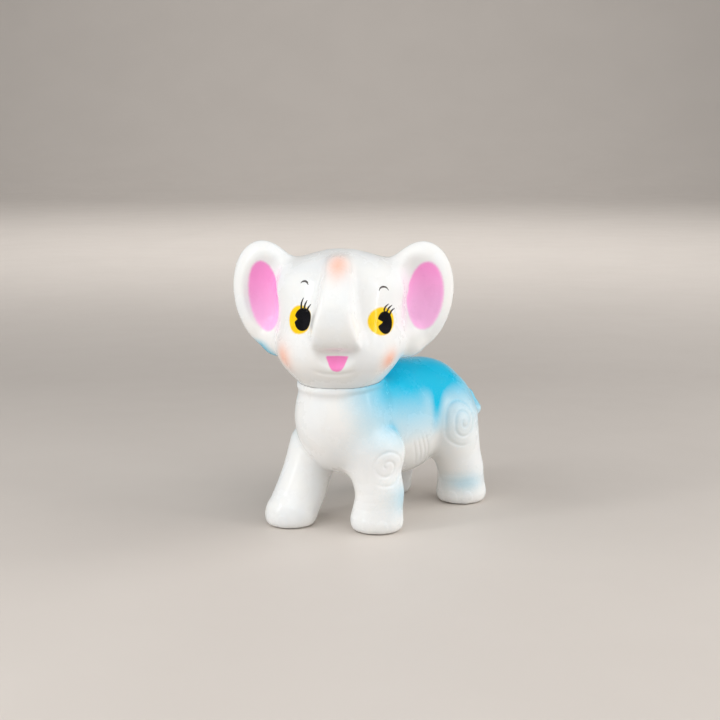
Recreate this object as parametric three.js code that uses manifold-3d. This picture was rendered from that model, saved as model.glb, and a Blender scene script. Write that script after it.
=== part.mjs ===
// Standing toy elephant, slush-moulded in soft vinyl: hollow torso, hollow head that turns
// in the neck collar, two ears, four legs and a tail. Millimetres, +Z up.
// The animal looks along -Y, its left side is +X, and its soles stand on Z = 0.
import * as THREE from 'three';
import { mergeVertices } from 'three/addons/utils/BufferGeometryUtils.js';
import Module from 'manifold-3d';

const wasm = await Module();
wasm.setup();

// ---------------------------------------------------------------- driving dimensions (mm)
const WALL = 2.2;                 // thickness of the moulded skin
const GAP = 0.3;                  // play between pieces that meet
const ORIGIN = [5.704, 0.068, 0];  // moves the middle of the outline over the origin

const NECK_Y = -24.5, RIM_Z = 54.7; // middle of the collar's rim, on the midline
const NECK_LEAN = 3.5;            // how far the neck axis leans forward there, degrees
const HEAD_TURN = 36.5;           // how far the head stands turned to its left, degrees
const COLLAR_R = 15.2, COLLAR_TOP = 56.2, COLLAR_FOOT = 43.0, BEAD_R = 15.9;
const LIP_R = 10.0, LIP_UNDER = 48.9, COLLAR_BORE = 12.5;
const STUB_R = 9.5, STUB_BORE = 7.3, STUB_FOOT = 45.6, STUB_TOP = 58.0;
const FLANGE_R = 11.8, FLANGE_TOP = 48.4;
const SAUCER_GAP = 0.5;           // room under the head for the turn

// ellipsoids [centre, radii] that make up the torso and the skull
const TORSO = [
  [[0, -23.06, 40.88], [18.68, 18.04, 21.48]],
  [[0, 8.13, 35.68], [17.21, 28.89, 22.58]],
  [[0, 22.96, 38.53], [17.87, 20.89, 18.18]],
  [[8.6, -6.0, 38.0], [8.8, 17.0, 14.5]], [[-8.6, -6.0, 38.0], [8.8, 17.0, 14.5]],
];
const SKULL = [
  [[0, 0.45, 80.34], [22.92, 22.0, 20.02]],
  [[0, 1.59, 89.54], [23.88, 19.58, 13.57]],
];
// underside of the head, round about the neck axis: height over the rim, radius, half height
const UNDERSIDE = [[14.26, 23.76, 16.3], [11.3, 19.6, 17.6]];

// raised trunk, lying up the forehead: height, how far forward, half width
const TRUNK_Z = [66.0, 70.5, 74.0, 79.0, 85.0, 91.0, 97.0, 101.0, 103.5, 107.0];
const TRUNK_Y = [-24.0, -26.5, -28.0, -29.2, -28.3, -25.4, -20.6, -15.9, -12.0, -6.0];
const TRUNK_W = [9.2, 8.9, 8.1, 6.85, 5.6, 4.9, 4.35, 3.65, 2.6, 1.0];
const TRUNK_X = [0.0, -0.1, -0.4, -0.8, -0.6, -0.3, 0.1, 0.0, 0.0, 0.0];   // it hangs a little to the animal's right
const TRUNK_BASE = 69.4, TRUNK_TIP = 102.5;

const EAR = { at: [27.64, 6.65, 85.38], sweep: 15.8, lean: 11.4, half: [13.85, 6.0, 20.7],
              dishAt: [-3.2, -7.5, 0.0], dish: [12.2, 7.5, 17.4],
              lobeAt: [25.0, 6.0, 69.5], lobe: [5.6, 5.0, 6.6] };
const EAR_PIN_R = 2.2;

// legs: foot, ankle and top centres with their radii, and the plug that enters the torso
const LEGS = {
  front_left_leg:  { foot: [16.27, -23.25, 4.0], ankle: [16.7, -22.04, 14.17], top: [12.15, -22.03, 29.08],
                     rf: 9.93, ra: 8.32, rt: 10.91, plug: [[14.6, -22.0, 18.0], [8.8, -21.6, 31.0]],
                     cap: [[14.4, -20.6, 28.6], [10.2, 10.0, 10.6]] },
  front_right_leg: { foot: [-13.3, -38.1, 4.0], ankle: [-13.2, -32.7, 11.84], top: [-12.6, -24.9, 27.83],
                     rf: 9.75, ra: 8.75, rt: 10.0, plug: [[-13.4, -29.5, 18.0], [-8.2, -24.0, 31.0]] },
  hind_left_leg:   { foot: [15.52, 30.65, 4.0], ankle: [15.63, 29.89, 13.62], top: [12.4, 25.5, 33.33],
                     rf: 9.95, ra: 8.41, rt: 12.0, plug: [[14.4, 28.0, 18.0], [8.2, 24.0, 32.0]] },
  hind_right_leg:  { foot: [-15.4, 22.3, 4.0], ankle: [-15.1, 24.4, 13.9], top: [-12.9, 25.4, 33.3],
                     rf: 9.7, ra: 8.9, rt: 12.5, plug: [[-14.4, 22.8, 18.0], [-8.2, 22.4, 32.0]] },
};
const PLUG_R = 5.6, PLUG_BORE = 3.6;

const TAIL = [[[0, 43.6, 43.2], 2.4], [[5.05, 47.55, 38.4], 2.9], [[9.2, 47.3, 33.7], 3.05]];
const TAIL_PIN_R = 1.6;

// ---------------------------------------------------------------- signed fields
const smin = (a, b, k) => { const h = Math.max(k - Math.abs(a - b), 0) / k; return Math.min(a, b) - h * h * h * k / 6; };
const smax = (a, b, k) => -smin(-a, -b, k);

function ellipsoid(p, c, r) {
  const x = p[0] - c[0], y = p[1] - c[1], z = p[2] - c[2];
  const k0 = Math.hypot(x / r[0], y / r[1], z / r[2]);
  const k1 = Math.hypot(x / (r[0] * r[0]), y / (r[1] * r[1]), z / (r[2] * r[2]));
  return k0 * (k0 - 1) / Math.max(k1, 1e-9);
}

function roundCone(p, a, b, ra, rb) {
  const d = [b[0] - a[0], b[1] - a[1], b[2] - a[2]];
  const q = [p[0] - a[0], p[1] - a[1], p[2] - a[2]];
  const dd = d[0] * d[0] + d[1] * d[1] + d[2] * d[2];
  const t = Math.min(1, Math.max(0, (q[0] * d[0] + q[1] * d[1] + q[2] * d[2]) / dd));
  return Math.hypot(q[0] - t * d[0], q[1] - t * d[1], q[2] - t * d[2]) - (ra + (rb - ra) * t);
}

// smooth curve through a table of heights
function along(z, X, Y) {
  const n = X.length;
  z = Math.min(X[n - 1], Math.max(X[0], z));
  const slope = (i) => {
    if (i === 0) return (Y[1] - Y[0]) / (X[1] - X[0]);
    if (i === n - 1) return (Y[n - 1] - Y[n - 2]) / (X[n - 1] - X[n - 2]);
    const h0 = X[i] - X[i - 1], h1 = X[i + 1] - X[i];
    return (h0 * h0 * Y[i + 1] - h1 * h1 * Y[i - 1] + (h1 * h1 - h0 * h0) * Y[i]) / (h0 * h1 * (h0 + h1));
  };
  let i = 0;
  while (i < n - 2 && z > X[i + 1]) i++;
  const h = X[i + 1] - X[i], t = (z - X[i]) / h;
  return (2 * t ** 3 - 3 * t ** 2 + 1) * Y[i] + (t ** 3 - 2 * t ** 2 + t) * h * slope(i)
    + (-2 * t ** 3 + 3 * t ** 2) * Y[i + 1] + (t ** 3 - t ** 2) * h * slope(i + 1);
}

const torsoField = (p) => TORSO.slice(1).reduce((d, [c, r]) => smin(d, ellipsoid(p, c, r), 6), ellipsoid(p, ...TORSO[0]));

// radius and height on the leaning neck axis, for a place measured from the axis at the rim's middle
const rad = THREE.MathUtils.degToRad;
function onNeck(x, y, z) {
  const s = Math.sin(rad(NECK_LEAN)), c = Math.cos(rad(NECK_LEAN));
  return [Math.hypot(x, y * c + (z - RIM_Z) * s), (z - RIM_Z) * c - y * s];
}
function undersideField(x, y, z) {
  const [r, h] = onNeck(x, y, z);
  const [a, b] = UNDERSIDE.map(([up, wide, high]) => ellipsoid([r, 0, h], [0, 0, up], [wide, wide, high]));
  return smin(a, b, 4);
}
const skullField = (p) => {
  const c = Math.cos(rad(HEAD_TURN)), s = Math.sin(rad(HEAD_TURN));
  const d = smin(ellipsoid(p, ...SKULL[0]), ellipsoid(p, ...SKULL[1]), 6);
  return smin(d, undersideField(c * p[0] - s * p[1], s * p[0] + c * p[1], p[2]), 8);
};

function trunkField(p) {
  const yf = along(p[2], TRUNK_Z, TRUNK_Y), w = along(p[2], TRUNK_Z, TRUNK_W);
  const deep = Math.min(Math.max(p[1] - yf, 0), 12);
  let d = smax((Math.abs(p[0] - along(p[2], TRUNK_Z, TRUNK_X)) - w - 0.22 * deep) * 0.97, yf - p[1], 4.4);
  d = smax(d, TRUNK_BASE - p[2], 7);
  d = smax(d, p[2] - TRUNK_TIP, 4);
  return smax(d, p[1] - 2, 2) * 0.8;
}
const headField = (p) => smin(skullField(p), trunkField(p), 4);

const legField = (g) => (p) => {
  let d = smin(roundCone(p, g.ankle, g.top, g.ra, g.rt), roundCone(p, g.foot, g.ankle, g.rf, g.ra), 4);
  if (g.cap) d = smin(d, ellipsoid(p, ...g.cap), 3);
  return smax(d, -(p[2] + 0.4), 2.5);
};
const tailField = (p) => smin(
  roundCone(p, TAIL[0][0], TAIL[1][0], TAIL[0][1], TAIL[1][1]),
  roundCone(p, TAIL[1][0], TAIL[2][0], TAIL[1][1], TAIL[2][1]), 2);

const earTurn = new THREE.Matrix4().makeRotationZ(THREE.MathUtils.degToRad(EAR.sweep))
  .multiply(new THREE.Matrix4().makeRotationY(THREE.MathUtils.degToRad(EAR.lean)));
const earBack = earTurn.clone().invert();
const earField = (side) => (p) => {
  const v = new THREE.Vector3(p[0] * side - EAR.at[0], p[1] - EAR.at[1], p[2] - EAR.at[2]).applyMatrix4(earBack);
  const q = [v.x, v.y, v.z];
  const d = smax(ellipsoid(q, [0, 0, 0], EAR.half), -ellipsoid(q, EAR.dishAt, EAR.dish), 3);
  return smin(d, ellipsoid([p[0] * side, p[1], p[2]], EAR.lobeAt, EAR.lobe), 3);
};

// ---------------------------------------------------------------- solids
function solid(geometry) {
  geometry.deleteAttribute('normal');
  geometry.deleteAttribute('uv');
  const g = mergeVertices(geometry, 1e-4);
  const index = g.index.array, keep = [];
  for (let i = 0; i < index.length; i += 3) {
    const [a, b, c] = [index[i], index[i + 1], index[i + 2]];
    if (a !== b && b !== c && c !== a) keep.push(a, b, c);
  }
  return new wasm.Manifold(new wasm.Mesh({
    numProp: 3, vertProperties: new Float32Array(g.attributes.position.array), triVerts: new Uint32Array(keep) }));
}

// A sphere whose points are pushed out from the centre until they lie on the field's surface.
function sculpt(field, centre, across, down, level = 0, poles = 'z', crowd = 1) {
  const g = new THREE.SphereGeometry(1, across, down);
  if (crowd > 1) {                // rows drawn together round the rim of a flat piece
    const pos = g.attributes.position;
    for (let i = 0; i < pos.count; i++) {
      const y = Math.sign(pos.getY(i)) * Math.abs(pos.getY(i)) ** crowd;
      const r = Math.hypot(pos.getX(i), pos.getZ(i)) || 1;
      const f = Math.sqrt(Math.max(0, 1 - y * y)) / r;
      pos.setXYZ(i, pos.getX(i) * f, y, pos.getZ(i) * f);
    }
  }
  if (poles === 'z') g.rotateX(Math.PI / 2);
  if (poles === 'x') g.rotateZ(Math.PI / 2);
  const pos = g.attributes.position, v = new THREE.Vector3(), row = across + 1;
  for (let i = 0; i < pos.count; i++) {
    const j = Math.floor(i / row), k = i % row;
    if (k > 0 && (j === 0 || j === down || k === across)) {
      pos.copyAt(i, pos, j * row);
      continue;
    }
    v.fromBufferAttribute(pos, i).normalize();
    let lo = 0, hi = 0.5;
    const at = (r) => field([centre[0] + v.x * r, centre[1] + v.y * r, centre[2] + v.z * r]) - level;
    while (at(hi) < 0 && hi < 120) { lo = hi; hi += 0.5; }
    for (let s = 0; s < 30; s++) { const mid = (lo + hi) / 2; if (at(mid) < 0) lo = mid; else hi = mid; }
    pos.setXYZ(i, centre[0] + v.x * lo, centre[1] + v.y * lo, centre[2] + v.z * lo);
  }
  return solid(g);
}

// Straight round bar from a to b.
function bar(a, b, r, sides = 12) {
  const from = new THREE.Vector3(...a), to = new THREE.Vector3(...b);
  const g = new THREE.CylinderGeometry(r, r, from.distanceTo(to), sides);
  const q = new THREE.Quaternion().setFromUnitVectors(new THREE.Vector3(0, 1, 0), to.clone().sub(from).normalize());
  g.applyQuaternion(q);
  const mid = from.add(to).multiplyScalar(0.5);
  g.translate(mid.x, mid.y, mid.z);
  return solid(g);
}

// Ring or plug turned about the vertical through the origin: closed outline of [radius, height].
function turned(outline, sides = 24) {
  const g = new THREE.LatheGeometry([...outline, outline[0]].map(([r, z]) => new THREE.Vector2(r, z)), sides);
  g.rotateX(Math.PI / 2);
  const m = solid(g);
  return m.volume() < 0 ? solid(flipped(g)) : m;
}
// From the upright onto the leaning neck axis, in the torso's frame or in the head's.
const leant = (m) => m.translate([0, 0, -RIM_Z]).rotate([NECK_LEAN, 0, 0]).translate([0, 0, RIM_Z]);
const onTorso = (m) => leant(m).translate([0, NECK_Y, 0]);
const onHead = (m) => leant(m).rotate([0, 0, -HEAD_TURN]);
function flipped(g) {
  const a = g.index.array;
  for (let i = 0; i < a.length; i += 3) [a[i], a[i + 1]] = [a[i + 1], a[i]];
  return g;
}

const group = new THREE.Group();
function place(name, m, color, turn = 0) {
  const mesh = m.getMesh();
  const g = new THREE.BufferGeometry();
  g.setAttribute('position', new THREE.BufferAttribute(new Float32Array(mesh.vertProperties), 3));
  g.setIndex(new THREE.BufferAttribute(new Uint32Array(mesh.triVerts), 1));
  if (turn) {
    g.rotateZ(THREE.MathUtils.degToRad(turn));
    g.translate(0, NECK_Y, 0);
  }
  g.translate(...ORIGIN);
  g.computeVertexNormals();
  const part = new THREE.Mesh(g, new THREE.MeshStandardMaterial({ color, roughness: 0.25, metalness: 0 }));
  part.name = name;
  group.add(part);
}

// ---------------------------------------------------------------- torso
const torsoAt = [0, 3, 38];
const torsoOuter = sculpt(torsoField, torsoAt, 26, 22, 0, 'y');
const torsoClear = sculpt(torsoField, torsoAt, 26, 22, GAP, 'y');
let torso = torsoOuter.subtract(sculpt(torsoField, torsoAt, 14, 12, -WALL, 'y'));
torso = torso.subtract(onTorso(bar([0, 0, 38], [0, 0, 70], COLLAR_BORE, 24)));
torso = torso.add(onTorso(turned([
  [LIP_R, LIP_UNDER], [LIP_R, COLLAR_TOP], [BEAD_R, COLLAR_TOP],
  [BEAD_R, RIM_Z - 1.3], [COLLAR_R + 0.3, RIM_Z - 2.0], [COLLAR_R, RIM_Z - 2.6],
  [COLLAR_R, COLLAR_FOOT], [COLLAR_BORE, COLLAR_FOOT], [COLLAR_BORE, LIP_UNDER],
])));
const roomUnderHead = (p) => undersideField(p[0], p[1] - NECK_Y, p[2]);
torso = torso.subtract(sculpt(roomUnderHead, [0, NECK_Y, 66], 32, 22, SAUCER_GAP));

// ---------------------------------------------------------------- legs
const below = new THREE.BoxGeometry(200, 200, 20);
below.translate(0, 0, -10);
const underground = solid(below);
for (const [name, g] of Object.entries(LEGS)) {
  const field = legField(g);
  const mid = [(g.ankle[0] + g.top[0]) / 2, (g.ankle[1] + g.top[1]) / 2, 15];
  const low = [g.ankle[0], g.ankle[1], 9];
  const inside = (p) => smax(smax(field(p) + WALL, WALL - p[2], 1), GAP + WALL - torsoField(p), 1);
  let m = sculpt(field, mid, 18, 14).subtract(torsoClear);
  m = m.add(bar(g.plug[0], g.plug[1], PLUG_R));
  m = m.subtract(sculpt(inside, low, 10, 8));
  m = m.subtract(bar(g.plug[0], g.plug[1].map((c, i) => c + 0.4 * (c - g.plug[0][i])), PLUG_BORE, 12));
  m = m.subtract(underground);
  place(name, m, 0xf1f2f2);
  torso = torso.subtract(bar(g.plug[0], g.plug[1].map((c, i) => c + 0.5 * (c - g.plug[0][i])), PLUG_R + GAP));
}

// ---------------------------------------------------------------- tail
let tail = sculpt(tailField, TAIL[1][0], 14, 12).subtract(torsoClear);
tail = tail.add(bar([4.4, 46.8, 38.9], [2.4, 40.4, 38.7], TAIL_PIN_R, 10));
place('tail', tail, 0xbfe6f2);
torso = torso.subtract(bar([4.4, 46.8, 38.9], [2.15, 39.6, 38.675], TAIL_PIN_R + GAP, 10));
place('torso_shell', torso, 0xe6f1f5);

// ---------------------------------------------------------------- head, drawn on its own axis and then turned
const skullAt = [0, 0, 80];
const skullOuter = sculpt(skullField, skullAt, 26, 20);
const skullClear = sculpt(skullField, skullAt, 26, 20, GAP);
let head = skullOuter.add(sculpt(trunkField, [0, -14, 86], 20, 16));
head = head.add(onHead(turned([
  [STUB_BORE, STUB_FOOT], [FLANGE_R - 0.8, STUB_FOOT], [FLANGE_R, STUB_FOOT + 1.0], [FLANGE_R, FLANGE_TOP - 0.2],
  [STUB_R, FLANGE_TOP], [STUB_R, STUB_TOP], [STUB_BORE, STUB_TOP],
])));
head = head.subtract(sculpt(headField, skullAt, 14, 10, -WALL));
head = head.subtract(onHead(bar([0, 0, 44], [0, 0, 60], STUB_BORE, 24)));

for (const [name, side] of [['left_ear', 1], ['right_ear', -1]]) {
  const c = new THREE.Vector3(0, 3, 0).applyMatrix4(earTurn).add(new THREE.Vector3(...EAR.at));
  let ear = sculpt(earField(side), [c.x * side, c.y, c.z], 26, 14, 0, 'y', 2.2).subtract(skullClear);
  ear = ear.add(bar([side * 25.4, 10.0, 85], [side * 16.5, 8.6, 85], EAR_PIN_R, 10));
  place(name, ear, 0xf3eef0, HEAD_TURN);
  head = head.subtract(bar([side * 25.4, 10.0, 85], [side * 15.8, 8.49, 85], EAR_PIN_R + GAP, 10));
}
place('head_shell', head, 0xf3f2ee, HEAD_TURN);

export default group;
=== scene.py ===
"""Looks of the toy elephant: soft glossy vinyl with sprayed and brushed paint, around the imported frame.

The skin of the body and of the head are signed fields (millimetres) drawn out as fine meshes.
The body looks along -Y; the head has its own frame on the neck axis and stands turned to its left.
"""

import math
from concurrent.futures import ThreadPoolExecutor

import bpy
import numpy as np
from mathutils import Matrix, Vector


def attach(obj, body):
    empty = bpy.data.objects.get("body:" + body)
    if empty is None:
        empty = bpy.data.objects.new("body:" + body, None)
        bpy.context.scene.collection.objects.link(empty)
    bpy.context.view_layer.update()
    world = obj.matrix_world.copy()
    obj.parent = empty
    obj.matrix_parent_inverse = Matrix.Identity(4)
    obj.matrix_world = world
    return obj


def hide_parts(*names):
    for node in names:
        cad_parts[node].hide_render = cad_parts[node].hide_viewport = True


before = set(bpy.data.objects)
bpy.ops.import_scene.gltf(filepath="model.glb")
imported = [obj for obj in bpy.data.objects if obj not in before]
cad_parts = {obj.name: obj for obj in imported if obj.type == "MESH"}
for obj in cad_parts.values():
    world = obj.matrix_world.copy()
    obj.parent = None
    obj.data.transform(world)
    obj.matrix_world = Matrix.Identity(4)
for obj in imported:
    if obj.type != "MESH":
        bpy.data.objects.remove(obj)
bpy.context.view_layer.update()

MM = 0.001
ORIGIN = np.array([5.704, 0.068, 0.0])       # modelling frame to row frame, mm
NECK = np.array([0.0, -24.5, 0.0])            # foot of the neck axis
RIM_Z, NECK_LEAN = 54.7, 3.5                  # middle of the collar's rim, and the axis's lean forward there, degrees
HEAD_TURN = 36.5                              # degrees
BODY_STEP, HEAD_STEP = ((0.52, 0.425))    # mesh spacing, mm
POOL = ThreadPoolExecutor(4)


# ------------------------------------------------------------------ field tools
def smin(a, b, k):
    h = np.maximum(k - np.abs(a - b), 0.0) / k
    return np.minimum(a, b) - h * h * h * k / 6.0


def smax(a, b, k):
    return -smin(-a, -b, k)


def step(x, a, b):
    t = np.clip((x - a) / (b - a), 0.0, 1.0)
    return t * t * (3.0 - 2.0 * t)


def bell(x, w):
    return np.exp(-(x / w) ** 2)


def turn(axis, deg):
    c, s = math.cos(math.radians(deg)), math.sin(math.radians(deg))
    return np.array({"x": [[1, 0, 0], [0, c, -s], [0, s, c]],
                     "y": [[c, 0, s], [0, 1, 0], [-s, 0, c]],
                     "z": [[c, -s, 0], [s, c, 0], [0, 0, 1]]}[axis], float)


def ell(P, c, r):
    q = P - np.asarray(c, float)
    r = np.asarray(r, float)
    k0 = np.sqrt(((q / r) ** 2).sum(-1))
    k1 = np.sqrt(((q / (r * r)) ** 2).sum(-1))
    return k0 * (k0 - 1.0) / np.maximum(k1, 1e-9)


def cone(P, a, b, ra, rb):
    a, b = np.asarray(a, float), np.asarray(b, float)
    ba = b - a
    t = np.clip(((P - a) @ ba) / (ba @ ba), 0.0, 1.0)
    q = P - a - t[:, None] * ba
    return np.sqrt((q * q).sum(-1)) - (ra + (rb - ra) * t)


def along(z, X, Y):
    """Smooth curve through a table."""
    X, Y = np.asarray(X, float), np.asarray(Y, float)
    z = np.clip(z, X[0], X[-1])
    m = np.gradient(Y, X)
    i = np.clip(np.searchsorted(X, z) - 1, 0, len(X) - 2)
    h = X[i + 1] - X[i]
    t = (z - X[i]) / h
    return ((2 * t**3 - 3 * t**2 + 1) * Y[i] + (t**3 - 2 * t**2 + t) * h * m[i]
            + (-2 * t**3 + 3 * t**2) * Y[i + 1] + (t**3 - t**2) * h * m[i + 1])


def on_neck(P):
    """Radius and height over the rim on the leaning neck axis, for places of the body's frame."""
    s, c = math.sin(math.radians(NECK_LEAN)), math.cos(math.radians(NECK_LEAN))
    x, y, z = P[:, 0] - NECK[0], P[:, 1] - NECK[1], P[:, 2] - RIM_Z
    return np.hypot(x, y * c + z * s), z * c - y * s


def underside(rho, h):
    """Lower part of the head, round about the neck axis."""
    Q = np.stack([rho, np.zeros(len(rho)), h], 1)
    return smin(ell(Q, (0, 0, 14.26), (23.76, 23.76, 16.3)), ell(Q, (0, 0, 11.3), (19.6, 19.6, 17.6)), 4.0)


def oval(u, v, c, r, lean=0.0):
    """Signed distance (positive inside) to an oval of a flat frame, close to its edge."""
    s, k = math.sin(math.radians(lean)), math.cos(math.radians(lean))
    x, y = (u - c[0]) * k - (v - c[1]) * s, (u - c[0]) * s + (v - c[1]) * k
    k0 = np.hypot(x / r[0], y / r[1])
    k1 = np.hypot(x / r[0] ** 2, y / r[1] ** 2)
    return -k0 * (k0 - 1.0) / np.maximum(k1, 1e-9)


# ------------------------------------------------------------------ body
LEGS = {      # foot, ankle and top centres, and their radii
    "front_left": ((16.27, -23.25, 4.0), (16.70, -22.04, 14.17), (12.15, -22.03, 29.08), 9.93, 8.32, 10.91),
    "front_right": ((-13.30, -38.10, 4.0), (-13.20, -32.70, 11.84), (-12.60, -24.90, 27.83), 9.75, 8.75, 10.00),
    "hind_left": ((15.52, 30.65, 4.0), (15.63, 29.89, 13.62), (12.40, 25.50, 33.33), 9.95, 8.41, 12.00),
    "hind_right": ((-15.40, 22.30, 4.0), (-15.10, 24.40, 13.90), (-12.90, 25.40, 33.30), 9.70, 8.90, 12.50),
}
CAPS = {"front_left": ((14.4, -20.6, 28.6), (10.2, 10.0, 10.6))}            # round shoulder on top of the leg
TAIL = (((0, 43.6, 43.2), 2.4), ((5.05, 47.55, 38.4), 2.9), ((9.2, 47.3, 33.7), 3.05))


def leg_field(P, foot, ankle, top, rf, ra, rt):
    return smin(cone(P, ankle, top, ra, rt), cone(P, foot, ankle, rf, ra), 4.0)


def tail_field(P):
    return smin(cone(P, TAIL[0][0], TAIL[1][0], TAIL[0][1], TAIL[1][1]),
                cone(P, TAIL[1][0], TAIL[2][0], TAIL[1][1], TAIL[2][1]), 2.0)


def scroll(u, v, a, b, turns, end, width):
    """Line of one spiral scroll, wound clockwise to its outer end at the angle end (degrees)."""
    x, y = u / a, v / b
    rho = np.hypot(x, y)
    theta = np.arctan2(y, x)
    tau = np.mod((math.radians(end) - theta) / (2 * math.pi) + turns, 1.0)
    whole = math.floor(turns)
    k = np.clip(np.round(rho * turns - tau), 0, whole)
    k = np.where(k + tau > turns, k - 1, k)
    at = (k + tau) / turns
    scale = np.hypot(a * np.cos(theta), b * np.sin(theta))
    off = (rho - at) * scale
    return bell(off, width) * step(at, 0.02, 0.16) * step(at, 1.0, 0.93) * (k >= 0)


def scrolls(P):
    """Scrolls on the shoulders, round the leg, and on the haunches, flat on the outside."""
    x, y, z = P[:, 0], P[:, 1], P[:, 2]
    out = np.zeros(len(P))
    for side, lx, ly, r in ((1, 13.1, -22.0, 10.4), (-1, -12.8, -25.8, 10.0)):
        u = r * (np.arctan2(y - ly, (x - lx) * side) + math.radians(20.4))
        on = step((x - lx) * side, 1.0, 4.0)
        out += scroll(u, z - 25.2, 7.8, 7.5, 2.2, 223.0, 0.6) * on
    for side, cy in ((1, 21.6), (-1, 20.8)):                   # wound the other way
        on = step(x * side, 12.5, 15.5)
        out += scroll(cy - y, z - 34.4, 7.1, 10.2, 2.7, 225.0, 0.6) * on
    return out


def body_relief(P):
    """Moulded lines, raised above zero and pressed in below it (mm)."""
    x, y, z = P[:, 0], P[:, 1], P[:, 2]
    out = -0.25 * scrolls(P)
    # folds of the belly, behind each front leg
    side = np.abs(x)
    for i, cy in enumerate((0.2, 3.0, 5.6, 8.0)):
        lean = 0.7 * (z - 27.0)
        reach = step(z, 17.0, 21.0) * step(z, 31.5 + 0.7 * i, 27.5 + 0.7 * i)
        out -= 0.18 * bell(y - cy + lean, 0.62) * reach * step(side, 5.0, 9.0) * step(side, 18.2, 17.2)
    # toenails and two faint wrinkles at each ankle
    for name, (foot, ankle, top, rf, ra, rt) in LEGS.items():
        s = 1 if foot[0] > 0 else -1
        lx, ly = x - foot[0], y - foot[1]
        near = step(np.hypot(lx, ly), 13.5, 11.5)
        phi = np.degrees(np.arctan2(ly, lx * s))
        for c in (-112.0, -76.0, -40.0):
            d = np.mod(phi - c + 180.0, 360.0) - 180.0
            n = oval(d * 0.17, z, (0.0, 2.6), (2.3, 3.0))
            out += 0.13 * step(n, -0.35, 0.45) * near * step(z, 12, 9)
        front = step(np.abs(np.mod(phi + 75.0 + 180.0, 360.0) - 180.0), 75.0, 30.0)
        wave = 0.5 * np.cos(np.radians(phi * 2.0))
        for cz in (9.6, 12.3):
            out -= 0.05 * bell(z - cz - wave, 0.5) * front * near
    return out


def body_field(P):
    x, y, z = P[:, 0], P[:, 1], P[:, 2]
    d = ell(P, (0, -23.06, 40.88), (18.68, 18.04, 21.48))
    d = smin(d, ell(P, (0, 8.13, 35.68), (17.21, 28.89, 22.58)), 6.0)
    d = smin(d, ell(P, (0, 22.96, 38.53), (17.87, 20.89, 18.18)), 6.0)
    for s in (1, -1):                                           # flanks
        d = smin(d, ell(P, (8.6 * s, -6.0, 38.0), (8.8, 17.0, 14.5)), 6.0)
    rho, h = on_neck(P)
    d = smin(d, smax(rho - 15.2, np.abs(h + 5.5) - 7.5, 1.0), 4.0)
    across = 0.766 * x + 0.643 * (y - NECK[1])
    d = smin(d, np.hypot(rho - 15.1, h + 0.9) - 1.15, 1.2 + 2.6 * step(across, 5.5, -1.0))      # rolled edge of the collar, softer in front
    for s in (1, -1):
        d = smin(d, ell(P, (8.44 * s, 26.22, 36.22), (11.89, 14.79, 15.46)), 2.2)
    for name, g in LEGS.items():
        leg = leg_field(P, *g)
        if name in CAPS:
            leg = smin(leg, ell(P, *CAPS[name]), 3.0)
        # creased behind the front legs, running smoothly into the chest in front of them
        d = smin(d, leg, 1.6 + 5.0 * step(y, -19.5, -29.0) if name in CAPS else 2.6 if name == "front_right" else 4.0)
    d = smin(d, tail_field(P), 1.5)
    near = np.abs(d) < 1.6
    if near.any():
        d[near] -= body_relief(P[near])
    # room for the turning head, the snap bore of the collar with its inner lip, and flat soles
    d = smax(d, 0.04 - underside(rho, h), 0.15)
    d = smax(d, -np.maximum(rho - 10.0, -11.7 - h), 0.5)
    d = smax(d, -np.maximum(rho - 12.5, np.abs(h + 8.75) - 2.95), 0.4)
    return smax(d, -z, 3.17)


# ------------------------------------------------------------------ head, in its own frame
TRUNK_Z = [66.0, 70.5, 74.0, 79.0, 85.0, 91.0, 97.0, 101.0, 103.5, 107.0]
TRUNK_Y = [-24.0, -26.5, -28.0, -29.2, -28.3, -25.4, -20.6, -15.9, -12.0, -6.0]
TRUNK_W = [9.2, 8.9, 8.1, 6.85, 5.6, 4.9, 4.35, 3.65, 2.6, 1.0]
TRUNK_X = [0.0, -0.1, -0.4, -0.8, -0.6, -0.3, 0.1, 0.0, 0.0, 0.0]      # it hangs a little to the animal's right
EAR_AT = np.array([27.64, 6.65, 85.38])
EAR_TURN = turn("z", 15.8) @ turn("y", 11.4)


def ear_local(q, side):
    return (q * np.array([side, 1.0, 1.0]) - EAR_AT) @ EAR_TURN


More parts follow.
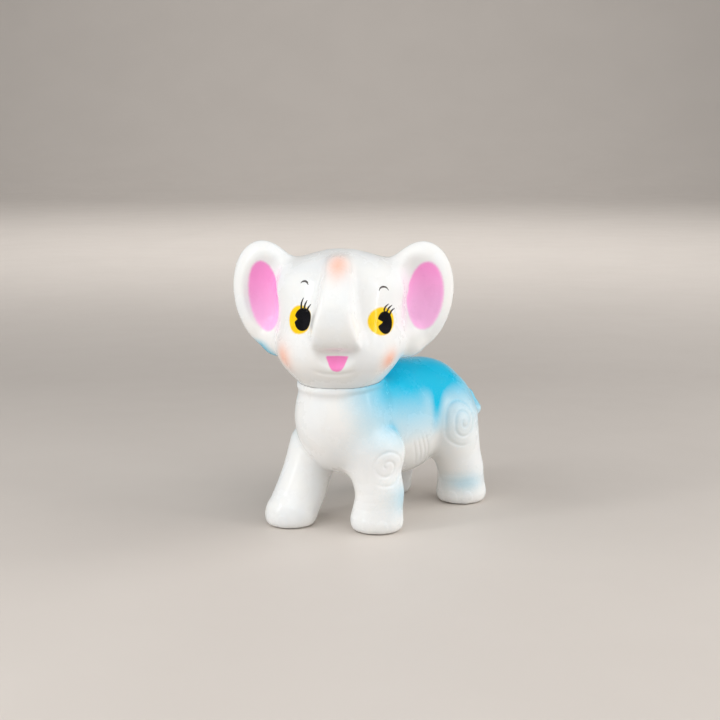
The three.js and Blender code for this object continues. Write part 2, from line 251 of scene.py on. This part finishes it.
def head_field(q):
    x, y, z = q[:, 0], q[:, 1], q[:, 2]
    d = ell(q, (0, 0.45, 80.34), (22.92, 22.0, 20.02))
    d = smin(d, ell(q, (0, 1.59, 89.54), (23.88, 19.58, 13.57)), 6.0)
    rho, h = on_neck(q @ turn("z", HEAD_TURN).T + NECK)
    d = smin(d, underside(rho, h), 8.0)
    # smile pressed in under the trunk, and the line of the lower lip
    d = smax(d, -ell(q, (0, -27.9, 67.6), (10.4, 6.0, 8.0)), 1.6)
    d = d + 0.36 * bell(z - 60.6 - 0.0225 * (x + 1.0) ** 2, 0.8) * step(np.abs(x + 1.0), 8.6, 4.5) * step(y, -14.0, -17.0)
    # trunk lying up the forehead
    yf, w = along(z, TRUNK_Z, TRUNK_Y), along(z, TRUNK_Z, TRUNK_W)
    deep = np.clip(y - yf, 0.0, 12.0)
    t = smax((np.abs(x - along(z, TRUNK_Z, TRUNK_X)) - w - 0.22 * deep) * 0.97, yf - y, 3.7)
    t = smax(t, 69.4 - z, 7.0)
    t = smax(t, z - 102.5, 4.0)
    t = smax(t, y - 2.0, 2.0) * 0.8
    d = smin(d, t, 2.8)
    for s in (1, -1):
        l = ear_local(q, s)
        e = smax(ell(l, (0, 0, 0), (13.85, 6.0, 20.7)), -ell(l, (-3.2, -7.5, 0.0), (12.2, 7.5, 17.4)), 3.0)
        e = smin(e, ell(q, (25.0 * s, 6.0, 69.5), (5.6, 5.0, 6.6)), 3.0)
        d = smin(d, e, 7.0 + 3.0 * step(z, 74.0, 88.0))        # broad root, widest at the temple
    plug = smax(rho - 9.5, np.abs(h + 2.9) - 6.2, 0.6)
    plug = np.minimum(plug, smax(rho - 11.8, np.abs(h + 7.7) - 1.4, 0.6))
    return smin(d, plug, 0.8)


# ------------------------------------------------------------------ meshing
def spread(field, P):
    if len(P) < 20000:
        return field(P)
    return np.concatenate(list(POOL.map(field, np.array_split(P, max(4, len(P) // 16000)))))


def sample(field, lo, n, h):
    """Field values on a grid, exact near the surface and only signed elsewhere."""
    block = 5
    nb = -(-n // block)
    b = np.stack(np.meshgrid(*[np.arange(k) for k in nb], indexing="ij"), -1).reshape(-1, 3)
    dm = spread(field, lo + (b * block + (block - 1) / 2.0) * h)
    V = np.repeat(np.repeat(np.repeat(dm.reshape(nb), block, 0), block, 1), block, 2)
    near = np.abs(dm) < 1.3 * block * h
    off = np.stack(np.meshgrid(*[np.arange(block)] * 3, indexing="ij"), -1).reshape(-1, 3)
    todo = b[near] * block
    for i in range(0, len(todo), 4000):
        ijk = (todo[i:i + 4000, None, :] + off[None]).reshape(-1, 3)
        V[ijk[:, 0], ijk[:, 1], ijk[:, 2]] = spread(field, lo + ijk * h)
    return V


def settle(field, P, rounds):
    """Points slid onto the surface, and the unit outward direction there."""
    for _ in range(rounds):
        f = spread(field, P)
        g = np.stack([spread(field, P + 0.04 * e) - f for e in np.eye(3)], 1) / 0.04
        move = (f / np.maximum((g * g).sum(1), 0.05))[:, None] * g
        far = np.linalg.norm(move, axis=1)
        P = P - move * np.minimum(1.0, 0.4 / np.maximum(far, 1e-9))[:, None]
    return P, g / np.maximum(np.linalg.norm(g, axis=1), 1e-9)[:, None]


def draw_out(field, lo, hi, h):
    """Quads over the zero surface of a field: one vertex per crossed cell, then slid onto the surface."""
    lo = np.asarray(lo, float)
    n = np.ceil((np.asarray(hi, float) - lo) / h).astype(int) + 1
    V = sample(field, lo, n, h)
    inside = V < 0
    c = np.zeros(np.array(V.shape) - 1, np.int8)
    for i in (0, 1):
        for j in (0, 1):
            for k in (0, 1):
                c += inside[i:i + c.shape[0], j:j + c.shape[1], k:k + c.shape[2]]
    active = (c > 0) & (c < 8)
    ijk = np.argwhere(active)
    index = np.full(c.shape, -1, np.int64)
    index[active] = np.arange(len(ijk))
    at, hits = np.zeros((len(ijk), 3)), np.zeros(len(ijk))
    for axis in range(3):
        e = np.eye(3, dtype=int)[axis]
        o1, o2 = [np.eye(3, dtype=int)[a] for a in range(3) if a != axis]
        for a in (0, 1):
            for b in (0, 1):
                base = a * o1 + b * o2
                p, q = ijk + base, ijk + base + e
                va, vb = V[p[:, 0], p[:, 1], p[:, 2]], V[q[:, 0], q[:, 1], q[:, 2]]
                cut = (va < 0) != (vb < 0)
                t = np.where(cut, va / np.where(cut, va - vb, 1.0), 0.0)
                at += np.where(cut[:, None], base + t[:, None] * e, 0.0)
                hits += cut
    verts = lo + h * (ijk + at / hits[:, None])
    quads = []
    for axis in range(3):
        a, b = np.take(inside, range(V.shape[axis] - 1), axis), np.take(inside, range(1, V.shape[axis]), axis)
        for flip, where in ((0, a & ~b), (1, ~a & b)):
            p = np.argwhere(where)
            u, v = [k for k in range(3) if k != axis]
            p = p[(p[:, u] > 0) & (p[:, v] > 0) & (p[:, u] < V.shape[u] - 1) & (p[:, v] < V.shape[v] - 1)]
            cells = []
            for du, dv in ((0, 0), (-1, 0), (-1, -1), (0, -1)):
                r = p.copy()
                r[:, u] += du
                r[:, v] += dv
                cells.append(index[r[:, 0], r[:, 1], r[:, 2]])
            f = np.stack(cells, 1)
            quads.append(f[:, ::-1] if flip ^ (axis == 1) else f)
    quads = np.concatenate(quads)
    e = np.concatenate([quads[:, [i, (i + 1) % 4]] for i in range(4)])
    count = np.bincount(e[:, 0], minlength=len(verts))
    for r in range(4):                              # even out along the surface
        verts, g = settle(field, verts, 1)
        mean = np.stack([np.bincount(e[:, 0], verts[e[:, 1], k], len(verts)) for k in range(3)], 1) / count[:, None]
        move = (mean - verts) * 0.5
        verts = verts + move - (move * g).sum(1)[:, None] * g
    verts, g = settle(field, verts, 3)
    return verts, quads, g


def head_to_row(q):
    return q @ turn("z", HEAD_TURN).T + NECK + ORIGIN


def new_mesh(name, verts, faces, material, normals=None):
    me = bpy.data.meshes.new(name)
    me.from_pydata((verts * MM).tolist(), [], faces.tolist() if hasattr(faces, "tolist") else faces)
    me.validate()
    me.polygons.foreach_set("use_smooth", np.full(len(me.polygons), True))
    if normals is not None:                         # shade with the field's own directions
        me.normals_split_custom_set_from_vertices(normals.tolist())
    me.materials.append(material)
    ob = bpy.data.objects.new(name, me)
    bpy.context.scene.collection.objects.link(ob)
    return ob


def lay(ob, name, values):
    a = ob.data.attributes.new(name, "FLOAT", "POINT")
    a.data.foreach_set("value", np.asarray(values, np.float32))


# ------------------------------------------------------------------ materials
class Tree:
    """Small helper to write shader nodes as formulas."""

    def __init__(self, name):
        self.mat = bpy.data.materials.new(name)
        self.mat.use_nodes = True
        self.nt = self.mat.node_tree
        self.nt.nodes.clear()
        self.out = self.node("ShaderNodeOutputMaterial")
        self.bsdf = self.node("ShaderNodeBsdfPrincipled")
        self.link(self.bsdf.outputs[0], self.out.inputs[0])
        self.place = self.node("ShaderNodeTexCoord").outputs["Object"]

    def node(self, kind, **props):
        n = self.nt.nodes.new(kind)
        for k, v in props.items():
            setattr(n, k, v)
        return n

    def link(self, a, b):
        self.nt.links.new(a, b)

    def put(self, socket, value):
        if isinstance(value, bpy.types.NodeSocket):
            self.link(value, socket)
        else:
            socket.default_value = value

    def math(self, op, *args, clamp=False):
        n = self.node("ShaderNodeMath", operation=op, use_clamp=clamp)
        for s, a in zip(n.inputs, args):
            self.put(s, a)
        return n.outputs[0]

    def ramp(self, value, a, b, c=0.0, d=1.0, smooth=True):
        n = self.node("ShaderNodeMapRange", interpolation_type="SMOOTHSTEP" if smooth else "LINEAR")
        for s, v in zip(("Value", "From Min", "From Max", "To Min", "To Max"), (value, a, b, c, d)):
            self.put(n.inputs[s], v)
        return n.outputs[0]

    def noise(self, scale, detail=2.0, rough=0.5, warp=0.0):
        n = self.node("ShaderNodeTexNoise")
        self.link(self.place, n.inputs["Vector"])
        for k, v in (("Scale", scale), ("Detail", detail), ("Roughness", rough), ("Distortion", warp)):
            n.inputs[k].default_value = v
        return n.outputs["Fac"]

    def mix(self, fac, a, b, blend="MIX"):
        n = self.node("ShaderNodeMix", data_type="RGBA", blend_type=blend)
        self.put(n.inputs["Factor"], fac)
        for s, v in ((n.inputs[6], a), (n.inputs[7], b)):
            self.put(s, v)
        return n.outputs[2]

    def attr(self, name):
        n = self.node("ShaderNodeAttribute", attribute_name=name)
        return n.outputs["Fac"]

    def bump(self, height, strength, distance):
        n = self.node("ShaderNodeBump")
        n.inputs["Strength"].default_value = strength
        n.inputs["Distance"].default_value = distance
        self.link(height, n.inputs["Height"])
        return n.outputs[0]


def rgb(r, g, b):
    """Linear colour of an sRGB triple."""
    f = lambda c: c / 12.92 if c <= 0.04045 else ((c + 0.055) / 1.055) ** 2.4
    return (f(r / 255.0), f(g / 255.0), f(b / 255.0), 1.0)


def vinyl(name):
    """White soft vinyl: faintly cloudy colour, soft gloss that changes a little over the surface, fine skin, and
    painted shade that greys the white in creases.
    """
    t = Tree(name)
    cloud = t.noise(70.0, 3.0, 0.55)
    fine = t.noise(900.0, 2.0, 0.6)
    white = t.mix(t.ramp(cloud, 0.35, 0.68), rgb(243, 243, 240), rgb(238, 240, 240))
    white = t.mix(t.ramp(t.noise(28.0, 1.0), 0.45, 0.75, 0.0, 0.35), white, rgb(246, 241, 236))
    # painted shade: the white is greyed where the attribute marks creases, folds and wrinkles
    shade = t.attr("painted_crease_shade")
    white = t.mix(t.math("MULTIPLY", shade, 0.55), white, rgb(212, 208, 204))
    # sprayed blue: pale where thin, deep where the passes overlap, with the spray's fine grain at its edge
    spray = t.math("ADD", t.attr("blue"), t.math("MULTIPLY", t.math("SUBTRACT", t.noise(1500.0, 1.0, 0.5), 0.5), 0.10))
    spray = t.math("ADD", spray, t.math("MULTIPLY", t.math("SUBTRACT", t.noise(120.0, 2.0, 0.5), 0.5), 0.07))
    some = t.math("GREATER_THAN", t.attr("blue"), 0.004)
    spray = t.math("MULTIPLY", spray, some, clamp=True)
    colour = t.mix(spray, white, t.mix(t.ramp(cloud, 0.3, 0.7), rgb(0, 189, 226), rgb(4, 193, 230)))
    rough = t.math("ADD", t.ramp(cloud, 0.3, 0.7, 0.20, 0.29), t.math("MULTIPLY", fine, 0.05))
    b = t.bsdf.inputs
    b["Subsurface Weight"].default_value = 0.10
    b["Subsurface Radius"].default_value = (1.0, 0.85, 0.75)
    b["Subsurface Scale"].default_value = 0.0009
    b["Specular IOR Level"].default_value = 0.28
    b["Coat Weight"].default_value = 0.30
    b["Coat Roughness"].default_value = 0.05
    b["IOR"].default_value = 1.5
    normal = t.bump(t.math("ADD", t.math("MULTIPLY", fine, 0.35), cloud), 0.045, 0.00035)
    t.link(normal, b["Normal"])
    t.colour, t.rough = colour, rough
    return t


def close(t):
    t.link(t.colour, t.bsdf.inputs["Base Color"])
    t.link(t.rough, t.bsdf.inputs["Roughness"])
    return t.mat


body_mat = close(vinyl("vinyl_body"))

t = vinyl("vinyl_head")
grain = t.math("MULTIPLY", t.math("SUBTRACT", t.noise(1300.0, 1.0), 0.5), 0.5)
peach = t.math("MULTIPLY", t.attr("peach"), t.math("ADD", 1.0, t.math("MULTIPLY", grain, 0.35)))
t.colour = t.mix(peach, t.colour, rgb(255, 186, 156))
edge = t.math("ADD", t.attr("pink"), grain)
pinks = t.mix(t.ramp(t.attr("lift"), -11.0, 10.0), rgb(255, 190, 234), rgb(255, 152, 216))
t.colour = t.mix(t.ramp(edge, -0.85, 0.75), t.colour, pinks)
tongue = t.mix(t.ramp(t.attr("lift"), -30.0, -20.0), rgb(255, 146, 208), rgb(255, 140, 203))
t.colour = t.mix(t.ramp(t.math("ADD", t.attr("tongue"), t.math("MULTIPLY", grain, 0.4)), -0.28, 0.28), t.colour, tongue)
gold = t.mix(t.ramp(t.noise(240.0, 2.0), 0.35, 0.65), rgb(252, 206, 0), rgb(255, 214, 10))
t.colour = t.mix(t.ramp(t.math("ADD", t.attr("yellow"), t.math("MULTIPLY", grain, 0.5)), -0.42, 0.42), t.colour, gold)
black = t.mix(t.ramp(t.noise(300.0, 2.0), 0.4, 0.7), rgb(15, 14, 17), rgb(26, 24, 28))
ink = t.ramp(t.attr("pupil"), -0.10, 0.10)
t.colour = t.mix(ink, t.colour, black)
t.rough = t.math("SUBTRACT", t.rough, t.math("MULTIPLY", ink, 0.17))
head_mat = close(t)

t = Tree("brushed_black")
t.link(t.mix(t.ramp(t.noise(700.0, 2.0), 0.35, 0.7), rgb(18, 16, 18), rgb(48, 43, 42)), t.bsdf.inputs["Base Color"])
t.link(t.ramp(t.noise(900.0), 0.3, 0.7, 0.28, 0.42), t.bsdf.inputs["Roughness"])
lash_mat = t.mat

t = Tree("brushed_grey")
t.link(t.mix(t.ramp(t.noise(700.0, 2.0), 0.35, 0.7), rgb(62, 57, 55), rgb(88, 82, 79)), t.bsdf.inputs["Base Color"])
t.link(t.ramp(t.noise(900.0), 0.3, 0.7, 0.3, 0.45), t.bsdf.inputs["Roughness"])
brow_mat = t.mat


# ------------------------------------------------------------------ body skin
bv, bq, bn = draw_out(body_field, (-28.0, -50.0, -1.0), (28.0, 54.5, 61.5), BODY_STEP)
body_skin = new_mesh("body_skin", bv + ORIGIN, bq, body_mat, bn)


def body_blue(P):
    """Blue sprayed over the back, fading down the sides and out towards the chest."""
    x, y, z = np.abs(P[:, 0]), P[:, 1], P[:, 2]
    side = along(z, [22, 26, 29, 31, 34, 37, 40, 43, 46, 49, 52, 60], [0, 0, 0.05, 0.15, 0.30, 0.42, 0.56, 0.68, 0.81, 0.95, 1, 1])
    thigh = along(z, [20, 22, 25, 28, 31, 34, 37, 40, 43, 46, 49, 52, 60], [0, 0, 0.03, 0.06, 0.10, 0.15, 0.22, 0.33, 0.49, 0.70, 0.91, 0.97, 1])
    m = side + (thigh - side) * step(y, 13.0, 18.0)
    rear = step(y, 25.0, 36.0)
    m += (0.66 * step(z, 28.0, 42.0) - m) * rear
    m *= along(y, [-60, -38, -36, -32, -28, -24, -20, -16, -12, -6, 60], [0, 0, 0.10, 0.40, 0.60, 0.74, 0.87, 0.93, 0.96, 1, 1])
    # gathered in the crease in front of the haunch, and a little paler in an upright patch in front of that
    r = np.hypot(y - 27.0, (z - 36.2) * 0.98)
    arc = np.degrees(np.arctan2(z - 36.2, 27.0 - y))
    m += 0.36 * bell(r - 15.7, 2.3) * step(arc, -26.0, 12.0) * step(arc, 96.0, 52.0) * step(x, 8.0, 12.0)
    m -= 0.10 * bell(y - 7.0, 3.0) * bell(z - 45.0, 5.0) * step(x, 6.0, 10.0)
    return np.clip(m, 0, 1)


def leg_blue(P):
    """Overspray on the legs."""
    out = np.zeros(len(P))
    for name, (foot, ankle, top, rf, ra, rt) in LEGS.items():
        s = 1 if foot[0] > 0 else -1
        c = np.array(ankle)
        x, y, z = (P[:, 0] - c[0]) * s, P[:, 1] - c[1], P[:, 2]
        near = step(np.hypot(x, y), 14.5, 11.5)
        phi = np.degrees(np.arctan2(y, x))
        if name.startswith("front"):
            out += 0.42 * bell((phi - 22.0), 46.0) * bell(z - 12.6, 5.6) * near
            c = np.array(CAPS.get(name, ((-12.6, -24.9, 28.3),))[0])
            ring = np.hypot(P[:, 1] - c[1], (z - c[2]) * 0.92)
            up = np.degrees(np.arctan2(z - c[2], P[:, 1] - c[1]))
            out += 0.42 * bell(ring - 9.2, 1.7) * bell(up - 48.0, 36.0) * step(x, -8.0, -3.0)
        else:
            out += 0.34 * bell((phi + 42.0), 55.0) * bell(z - 9.2, 3.4) * near
    return out


rel = body_relief(bv)
blue = body_blue(bv) + leg_blue(bv)
blue = np.maximum(blue, 0.72 * step(tail_field(bv), 1.6, 0.0) * step(bv[:, 2], 28.0, 38.0))
blue *= 1.0 + 0.35 * scrolls(bv)                             # left in the scroll lines
lay(body_skin, "blue", np.clip(blue, 0, 1))
# painted shade for the folds of the belly and the wrinkles at the ankles, kept lighter in the scroll lines
lay(body_skin, "painted_crease_shade", np.clip(step(rel + 0.20 * scrolls(bv), -0.04, -0.24) * 0.6, 0, 1))
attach(body_skin, "body")
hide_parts("torso_shell", "front_left_leg", "front_right_leg", "hind_left_leg", "hind_right_leg", "tail")

# ------------------------------------------------------------------ head skin
hv, hq, hn = draw_out(head_field, (-46.0, -34.0, 44.0), (46.0, 27.0, 109.0), HEAD_STEP)
head_skin = new_mesh("head_skin", head_to_row(hv), hq, head_mat, hn @ turn("z", HEAD_TURN).T)

# flat frame of each eye: centre, outward; places in it run across (towards the animal's left) and up
EYES = {
    "right": dict(at=(-13.66, -17.10, 79.71), out=(-0.64, -0.77, 0.08), gold=((0.45, 0.05), (5.5, 5.15)),
                  ink=((1.9, 0.28), (4.02, 4.12)), cut=((-0.65, 0.15), 178.0, 38.0),
                  lash=[((0.64, 4.0), (0.45, 6.0), (1.01, 8.0)), ((2.07, 3.9), (2.1, 5.6), (2.75, 7.3)), ((3.33, 3.2), (3.6, 4.6), (4.55, 6.0))],
                  brow=[(-1.5, 12.95), (-0.9, 13.65), (0.1, 13.85), (1.1, 13.45), (1.9, 12.6)]),
    "left": dict(at=(15.18, -15.83, 79.31), out=(0.68, -0.73, 0.08), gold=((0.45, -0.1), (6.15, 5.05)),
                 ink=((1.85, -0.72), (3.6, 4.1)), cut=((0.85, -0.42), 180.0, 28.0),
                 lash=[((1.63, 3.5), (2.5, 4.8), (4.18, 5.8)), ((3.04, 3.0), (4.2, 4.3), (6.1, 5.2)), ((4.47, 2.0), (5.6, 3.2), (7.45, 3.95))],
                 brow=[(0.4, 10.85), (1.2, 11.8), (2.5, 12.1), (3.8, 11.75), (4.75, 10.6)]),
}


def eye_frame(e):
    n = np.array(e["out"], float)
    n /= np.linalg.norm(n)
    u = np.cross([0, 0, 1.0], n)
    u /= np.linalg.norm(u)
    return np.array(e["at"]), n, u, np.cross(n, u)


yellow, pupil = np.full(len(hv), -9.0), np.full(len(hv), -9.0)
for e in EYES.values():
    c, n, u, v = eye_frame(e)
    q = hv - c
    a, b, w = q @ u, q @ v, q @ n
    close_by = (np.abs(w) < 5.0) & (hn @ n > 0.1)
    y = oval(a, b, *e["gold"])
    k = oval(a, b, *e["ink"])
    (ca, cb), point, half = e["cut"]
    ra, rb = a - ca, b - cb
    wedge = np.abs(rb) * math.cos(math.radians(half)) + ra * math.sin(math.radians(half))  # under zero inside the cut
    k = smin(k, wedge, 0.5)
    y = np.maximum(y, k - 0.05)
    yellow = np.where(close_by, np.maximum(yellow, y), yellow)
    pupil = np.where(close_by, np.maximum(pupil, k), pupil)

x, y, z = hv.T
pink = np.maximum(oval(x, z, (30.9, 86.0), (6.7, 12.5), 5.5), oval(x, z, (-29.0, 85.5), (5.9, 13.0), -7.5))
beside = np.minimum(ell(hv, (0, 0.45, 80.34), (22.92, 22.0, 20.02)), ell(hv, (0, 1.59, 89.54), (23.88, 19.58, 13.57)))
pink = np.where((hn[:, 1] < 0.15) & (y < 12.0) & (np.abs(x) > 22.0), np.minimum(pink * (1.0 + 2.0 * (1.0 - np.abs(hn[:, 1]))), np.where(x > 0, (beside - 1.0) * 2.0, (beside + 0.2) * 4.0)), -9.0)
left_edge = (x + 3.95 - (67.5 - z) * 0.36) * 0.94
right_edge = (4.25 - x - (67.5 - z) * 0.42) * 0.92
tongue = smin(smin(smin(left_edge, right_edge, 1.6), z - 61.7, 3.6), 67.5 - z, 0.8)
tongue = np.where(y < -15.0, tongue, -9.0)
lay(head_skin, "yellow", yellow)
lay(head_skin, "pupil", pupil)
lay(head_skin, "pink", pink)
lay(head_skin, "tongue", tongue)
lay(head_skin, "lift", z - 86.0 - 5.0 * (x > 0))
peach = np.zeros(len(hv))
for c, w, m in (((-19.6, -13.0, 65.6), 4.5, 0.78), ((18.8, -13.8, 64.6), 3.7, 0.86), ((0.2, -17.6, 99.4), 4.4, 0.72)):
    q = (hv - np.array(c)) * ((1.2, 0.72, 0.72) if abs(c[0]) < 1.0 else (1.0, 1.0, 1.0))      # the one on the trunk is long
    peach = np.maximum(peach, m * bell(np.linalg.norm(q, axis=1), w))
lay(head_skin, "peach", peach)
back = 0.9 * step(y, 3.0, 15.0) * step(hn[:, 1], 0.0, 0.75) * step(z, 103.0, 90.0)
back = np.maximum(back, 0.85 * step(-x, 22.3, 24.8) * step(z, 70.2, 66.0) * step(y, 0.2, 4.4))
lay(head_skin, "blue", np.clip(back, 0, 1))
# no painted crease shade on the head
lay(head_skin, "painted_crease_shade", np.zeros(len(hv)))
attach(head_skin, "head")
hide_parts("head_shell", "left_ear", "right_ear")


# ------------------------------------------------------------------ brushed lashes and brows: thin strokes of paint on the skin
def brush(points, radii, e, lift=0.09):
    """Closed tapered ribbon on the skin, through points of an eye's flat frame."""
    c, n, u, v = eye_frame(e)
    pts = np.array(points, float)
    s = np.linspace(0, len(pts) - 1, 17)
    curve = np.stack([along(s, np.arange(len(pts)), pts[:, k]) for k in (0, 1)], 1)
    rad = np.interp(s / s[-1], np.linspace(0, 1, len(radii)), radii)
    tang = np.gradient(curve, axis=0)
    tang /= np.linalg.norm(tang, axis=1)[:, None]
    side = np.stack([-tang[:, 1], tang[:, 0]], 1)
    ring = ((-1.0, -0.1), (-0.8, 0.75), (0.0, 1.0), (0.8, 0.75), (1.0, -0.1), (0.0, -1.2))
    flat = np.concatenate([curve + side * (off * rad)[:, None] for off, h in ring])
    P = c + flat[:, :1] * u + flat[:, 1:] * v
    for _ in range(14):                                         # straight in or out, onto the skin
        f = head_field(P)
        rise = (head_field(P + 0.05 * n) - f) / 0.05
        P = P - np.clip(f / np.maximum(rise, 0.3), -1.5, 1.5)[:, None] * n
    out = settle(head_field, P, 1)[1]
    P = P + out * (np.repeat([h for off, h in ring], len(s)) * lift)[:, None]
    k, m = len(s), len(ring)
    verts = [tuple(P[j * k + i]) for i in range(k) for j in range(m)]
    faces = [(i * m + j, (i + 1) * m + j, (i + 1) * m + (j + 1) % m, i * m + (j + 1) % m) for i in range(k - 1) for j in range(m)]
    faces += [tuple(range(m)), tuple((k - 1) * m + j for j in range(m))[::-1]]
    return verts, faces


def strokes(name, lists, material):
    verts, faces = [], []
    for v, f in lists:
        faces += [tuple(i + len(verts) for i in g) for g in f]
        verts += v
    ob = new_mesh(name, head_to_row(np.array(verts)), faces, material)
    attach(ob, "head")
    return ob


lashes = strokes("lashes", [brush(p, (0.44, 0.42, 0.31, 0.12), e) for e in EYES.values() for p in e["lash"]], lash_mat)
brows = strokes("brows", [brush(e["brow"], (0.09, 0.30, 0.35, 0.30, 0.09), e) for e in EYES.values()], brow_mat)

# ------------------------------------------------------------------ stage, light, camera
t = Tree("floor_pale")
t.link(t.mix(t.ramp(t.noise(9.0, 3.0), 0.3, 0.7), rgb(208, 200, 192), rgb(210, 202, 194)), t.bsdf.inputs["Base Color"])
t.link(t.ramp(t.noise(30.0), 0.3, 0.7, 0.5, 0.6), t.bsdf.inputs["Roughness"])
floor_mat = t.mat
n = 24
pts, faces = [], []
for i in range(n + 1):                              # floor that curves up into a backdrop, far behind
    s = i / n
    for xx in (-3.0, 3.0):
        if s < 0.5:
            pts.append((xx, -1.2 + s * 2 * 3.0, 0.0))
        else:
            a = (s - 0.5) * 2 * math.pi / 2
            pts.append((xx, 1.8 + 0.8 * math.sin(a), 0.8 - 0.8 * math.cos(a)))
for xx in (-3.0, 3.0):
    pts.append((xx, 2.6, 3.0))
faces = [(2 * i, 2 * i + 1, 2 * i + 3, 2 * i + 2) for i in range(n + 1)]
me = bpy.data.meshes.new("floor")
me.from_pydata(pts, [], faces)
me.polygons.foreach_set("use_smooth", [True] * len(me.polygons))
me.materials.append(floor_mat)
floor = bpy.data.objects.new("floor", me)
bpy.context.scene.collection.objects.link(floor)
floor.rotation_euler = (0, 0, math.radians(40.0))

world = bpy.data.worlds.new("studio")
world.use_nodes = True
world.node_tree.nodes["Background"].inputs[0].default_value = rgb(236, 238, 242)
world.node_tree.nodes["Background"].inputs[1].default_value = 0.16
bpy.context.scene.world = world


def softbox(name, at, aim, size, watts, colour=(1, 1, 1), mirrored=True):
    l = bpy.data.lights.new(name, "AREA")
    l.shape, l.size, l.size_y = "RECTANGLE", size[0], size[1]
    l.energy, l.color = watts, colour
    o = bpy.data.objects.new(name, l)
    bpy.context.scene.collection.objects.link(o)
    o.visible_glossy = mirrored                     # whether the gloss shows the box itself
    o.location = at
    o.rotation_euler = (Vector(aim) - Vector(at)).to_track_quat("-Z", "Y").to_euler()
    return o


def beside_camera(right, away, up):
    """Place given across the picture, into it and above the floor (m)."""
    a = math.radians(40.0)
    return (right * math.cos(a) - away * math.sin(a), right * math.sin(a) + away * math.cos(a), up)


softbox("left", beside_camera(-0.80, -0.10, 0.50), (0, 0, 0.08), (0.9, 0.8), 3.2, (0.97, 0.985, 1.0), False)
softbox("right", beside_camera(0.80, 0.05, 0.50), (0, 0, 0.08), (0.9, 0.8), 5.9, mirrored=False)
softbox("front", beside_camera(0.0, -0.75, 0.95), (0, 0, 0.08), (1.2, 0.7), 4.0)
softbox("near_left", beside_camera(-0.30, -0.30, 0.22), (0, 0, 0.085), (0.3, 0.3), 0.50, (0.97, 0.985, 1.0), False)
softbox("near_right", beside_camera(0.30, -0.30, 0.22), (0, 0, 0.085), (0.3, 0.3), 0.34, mirrored=False)
softbox("window_left", beside_camera(-0.60, -0.32, 0.36), (0, 0, 0.08), (0.05, 0.5), 0.80)
softbox("window_right", beside_camera(0.60, -0.32, 0.36), (0, 0, 0.08), (0.05, 0.5), 0.55)
softbox("backdrop", beside_camera(0.0, 0.80, 0.90), beside_camera(0.0, 1.90, 0.25), (1.4, 0.5), 15.0)

cam_data = bpy.data.cameras.new("camera")
cam_data.lens, cam_data.sensor_width = 73.5, 36.0
cam_data.clip_start, cam_data.clip_end = 0.02, 20.0
cam = bpy.data.objects.new("camera", cam_data)
bpy.context.scene.collection.objects.link(cam)
cam.location = (0.351 + ORIGIN[0] * MM, -0.432 + ORIGIN[1] * MM, 0.157)
cam.rotation_euler = (math.radians(80.0), 0.0, math.radians(40.0))
bpy.context.scene.camera = cam
bpy.context.scene.view_settings.view_transform = "Standard"
